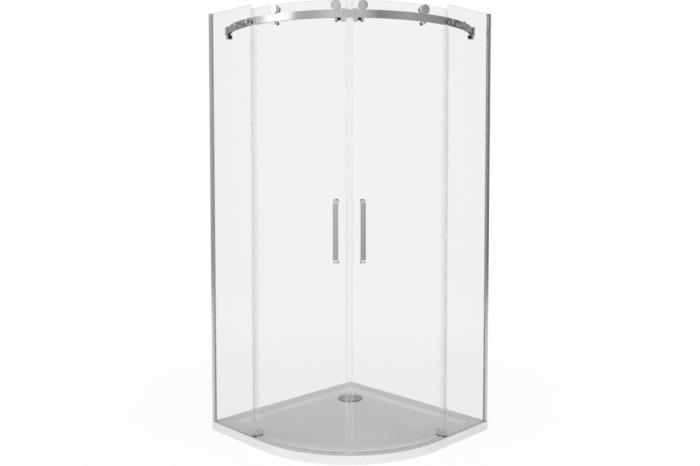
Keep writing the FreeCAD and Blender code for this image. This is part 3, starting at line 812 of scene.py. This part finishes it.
def roller_caps(node):
    """Polished discs with a soft rim and a fine ring groove."""
    radius, thickness, crown = 0.020, 0.0055, 0.0005
    rim = ((0.0004, 0.0006), (0.0007, 0.0004))
    groove_reach, groove_width, groove_depth = 0.0155, 0.0012, 0.0005
    spigot_radius, spigot = 0.006, 0.0015
    face = radius - sum(width for width, rise in rim)
    front = [*rim, *dome_steps(face, crown, (groove_reach,)), *ring_groove(groove_width, groove_depth)]
    front += dome_steps(groove_reach - groove_width, crown, (0.010, 0.006, 0.002))
    back = ((radius - spigot_radius, 0), (0, -spigot))
    rises = sum(rise for width, rise in front)
    piece = turned(node + "_turned", radius, thickness - rises, front, back)
    piece = set_at(piece, radial_places(node, cap_back))
    smooth(piece)
    fit(piece, node)


def roller_nuts(node):
    """Round nuts with a soft rim and a sunk face, on the inside of the door glass."""
    radius, height = 0.015, 0.0042
    rim = ((0.0003, 0.0005), (0.0006, 0.0003))
    sunk_face = ((0.0036, 0), (0.0003, -0.0006), (0.0046, 0.0002))
    piece = turned(node + "_turned", radius, height, (*rim, *sunk_face))
    piece = set_at(piece, radial_places(node, nut_back, -1))
    smooth(piece)
    fit(piece, node)


def handle_screws(node):
    """Screws through the door glass into the handle, with their heads on the inside."""
    radius, height, shank_radius, grip = 0.008, 0.005, 0.003, 0.014
    piece = screw(node + "_turned", radius, height, shank_radius, door_outer + grip - nut_back)
    piece = set_at(piece, radial_places(node, nut_back, -1))
    smooth(piece)
    fit(piece, node)


def drain_cover():
    """Domed cover with a ring groove, a skirt that locates it in the waste, and three feet."""
    radius, rim, crown = 0.058, 0.003, 0.0038
    soft = (0.0006, 0.0002)
    groove_reach, groove_width, groove_depth = 0.046, 0.0016, 0.0006
    front = [soft, *dome_steps(radius - soft[0], crown, (0.052, groove_reach))]
    front += ring_groove(groove_width, groove_depth)
    front += dome_steps(groove_reach - groove_width, crown, (0.038, 0.030, 0.021, 0.011))
    skirt, wall, drop = 0.0399, 0.002, 0.009
    back = ((radius - skirt, 0), (0, -drop), (wall, 0), (0, drop))
    foot_count, foot_radius, foot_height, foot_circle = 3, 0.004, 0.003, 0.04875
    foot_chamfer = (0.0006, foot_height * 0.2)
    middle = Vector((*waste.xy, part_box("drain_cover")[0].z + drop))
    up = Vector((0, 0, 1))
    cover = set_at(turned("drain_cover_turned", radius, rim, front, back), [(middle, up)])
    places = []
    for index in range(foot_count):
        heading = math.tau * index / foot_count
        reach = Vector((math.cos(heading), math.sin(heading), 0)) * foot_circle
        places.append((middle + reach, -up))
    foot = turned("drain_cover_feet", foot_radius, foot_height - foot_chamfer[1], [foot_chamfer])
    piece = join([cover, set_at(foot, places)])
    smooth(piece)
    fit(piece, "drain_cover")


shower_tray()
wall_profiles()
rail_bolts()
profile_screws()
stop_screws()
drain_cover()
for node, width in edge_rounds.items():
    edged(node, width)
for side in ("left", "right"):
    roller_caps("roller_caps_" + side)
    roller_nuts("roller_nuts_" + side)
    handle_screws("handle_screws_" + side)
    edged("door_handle_" + side, handle_round, handle_round_steps)
    for pair, width in paired_edge_rounds.items():
        edged(pair + side, width)


# Studio

def studio_world():
    """White to the eye and in mirrors and glass, and a plain soft light on everything else."""
    world = bpy.data.worlds.new("studio")
    bpy.context.scene.world = world
    f = Finish("studio", world)
    bounced = f.node("LightPath", output="Diffuse Depth") > 0.5
    seen = f.looked_at() * (1 - bounced)
    strength = sky_fill + (1 - sky_fill) * seen
    f.surface(f.node("Background", {}, {"Color": tone(1.0), "Strength": strength}))


def pale_floor():
    """Floor that looks white, with the object's shadow, and lights the object as a pale matt one."""
    f = Finish("pale_floor")
    place = f.node("TexCoord", output="Object")
    reach = f.node("VectorMath", {"operation": "LENGTH"}, {0: place}, output=1)
    away = f.node("MapRange", {}, {0: reach, 1: shadow_reach[0], 2: shadow_reach[1]})
    glow = f.node("Emission", {}, {"Color": tone(1.0), "Strength": floor_glow})
    veil = f.node("BsdfDiffuse", {}, {"Color": tone(floor_veil)})
    near = f.node("AddShader", {}, {0: veil, 1: glow})
    far = f.node("Emission", {}, {"Color": tone(1.0), "Strength": 1.0})
    shown = f.node("MixShader", {}, {0: away, 1: near, 2: far})
    matt = f.node("BsdfDiffuse", {}, {"Color": tone(floor_tone)})
    finish = f.surface(f.node("MixShader", {}, {0: f.looked_at(), 1: matt, 2: shown}))
    bpy.ops.mesh.primitive_plane_add(size=floor_size)
    floor = bpy.context.object
    floor.name = "studio_floor"
    floor.data.materials.append(finish)


def around(bearing, distance, z):
    """Point at a bearing to the left of the camera's side of the object."""
    heading = math.radians(-camera_heading - bearing)
    return Vector((math.cos(heading) * distance, math.sin(heading) * distance, z))


def mirror_wrap():
    """Round wall of soft greys that only polished surfaces see."""
    f = Finish("mirror_wrap")
    place = f.node("TexCoord", output="Object")
    turn = (0, 0, math.radians(camera_heading))
    from_camera = f.node("Mapping", {}, {"Vector": place, "Rotation": turn})
    bearing = f.node("TexGradient", {"gradient_type": "RADIAL"}, {"Vector": from_camera}, output=1)
    stops = sorted((0.5 - degrees / 360, grey) for degrees, grey in wrap_greys)
    round_grey = f.node("ValToRGB", {"stops": stops}, {0: bearing})
    height = f.node("SeparateXYZ", {}, {0: place}, output=2)
    rise = f.node("ValToRGB", {"stops": wrap_rise}, {0: height * (1 / wrap_height) + 0.5})
    grey = f.node("Mix", {"data_type": "RGBA", "blend_type": "MULTIPLY"},
                  {0: 1.0, 6: round_grey, 7: rise}, output=2)
    finish = f.surface(f.node("Emission", {}, {"Color": grey}))
    bpy.ops.mesh.primitive_cylinder_add(vertices=wrap_steps, radius=wrap_radius, depth=wrap_height,
                                        end_fill_type="NOTHING", location=(0, 0, wrap_height / 2))
    wrap = bpy.context.object
    wrap.name = "mirror_wrap"
    wrap.data.materials.append(finish)
    for sight in ("camera", "diffuse", "transmission", "volume_scatter", "shadow"):
        setattr(wrap, "visible_" + sight, False)


def soft_lamp(name, bearing, distance, z, size, watts):
    """Large soft lamp that looks at the enclosure's middle."""
    lamp = bpy.data.lights.new(name, "AREA")
    lamp.shape = "RECTANGLE"
    lamp.size, lamp.size_y = size
    lamp.energy = watts
    holder = bpy.data.objects.new(name, lamp)
    bpy.context.collection.objects.link(holder)
    holder.location = around(bearing, distance, z)
    aim = Vector((0, 0, z)) - holder.location
    holder.rotation_euler = aim.to_track_quat("-Z", "Y").to_euler()
    holder.visible_camera = False
    holder.visible_glossy = False
    holder.visible_transmission = False


def place_camera():
    """Camera at the photograph's viewing angle."""
    data = bpy.data.cameras.new("camera")
    data.sensor_width = sensor_width
    data.lens = focal_pixels * sensor_width / picture_width
    data.shift_x = (picture_width / 2 - principal_pixel[0]) / picture_width
    data.shift_y = (principal_pixel[1] - picture_height / 2) / picture_width
    holder = bpy.data.objects.new("camera", data)
    bpy.context.collection.objects.link(holder)
    holder.location = camera_place
    holder.rotation_euler = (math.radians(90 - camera_pitch), 0, math.radians(camera_heading))
    bpy.context.scene.camera = holder


bpy.ops.object.select_all(action="DESELECT")
studio_world()
pale_floor()
mirror_wrap()
soft_lamp("front_lamp", bearing=8.0, distance=4.5, z=1.1, size=(3.0, 1.6), watts=57.0)
soft_lamp("left_softbox", bearing=60.0, distance=3.2, z=2.0, size=(1.3, 2.6), watts=19.0)
soft_lamp("right_softbox", bearing=-60.0, distance=3.2, z=2.0, size=(1.3, 2.6), watts=23.0)
place_camera()

bpy.context.scene.view_settings.view_transform = "Standard"
